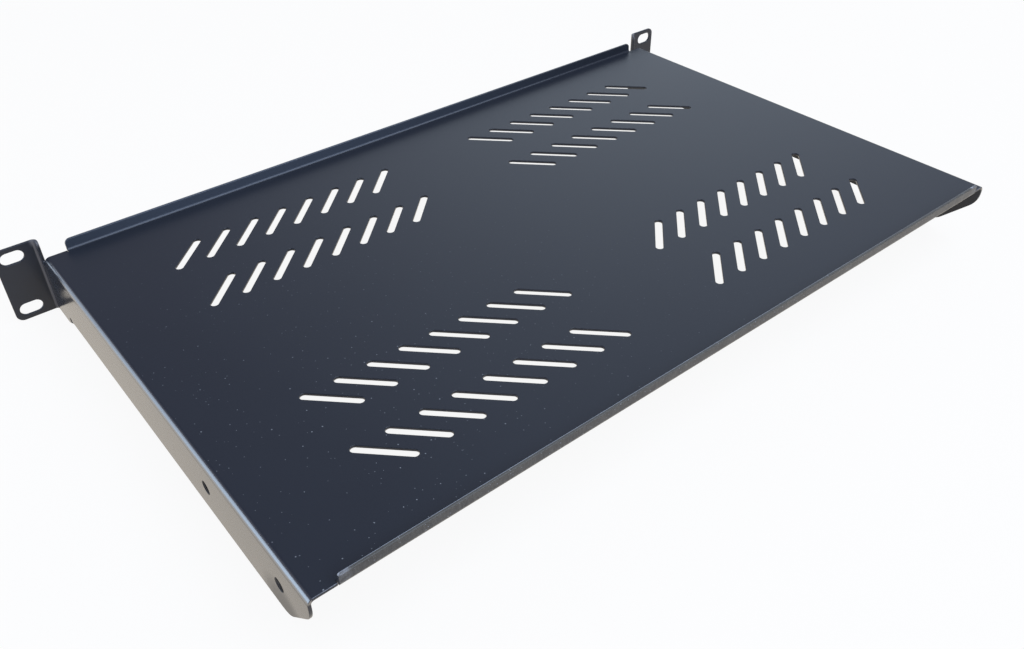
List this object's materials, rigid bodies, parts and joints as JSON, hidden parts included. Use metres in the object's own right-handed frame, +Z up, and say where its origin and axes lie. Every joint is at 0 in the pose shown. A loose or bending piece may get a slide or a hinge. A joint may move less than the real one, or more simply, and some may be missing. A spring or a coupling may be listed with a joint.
{
  "type": "cantilever rack shelf",
  "caption": "Vented cantilever shelf folded from one steel sheet: flat deck, low lips front and back, side walls and slotted ears that bolt to the front rails of a 19-inch rack.",
  "frame": {"origin": "middle of the four ear slots, on the plane of the ear faces that bear on the rack rails", "axes": "+X across the rack, +Y back into the rack from the ears, +Z up; the deck is level"},
  "size_m": [0.4826, 0.286, 0.044],
  "materials": {
    "black_powder_coat": "semi-gloss black powder coat"
  },
  "bodies": {
    "root": {"cantilever_shelf": "black_powder_coat"}
  },
  "joints": []
}
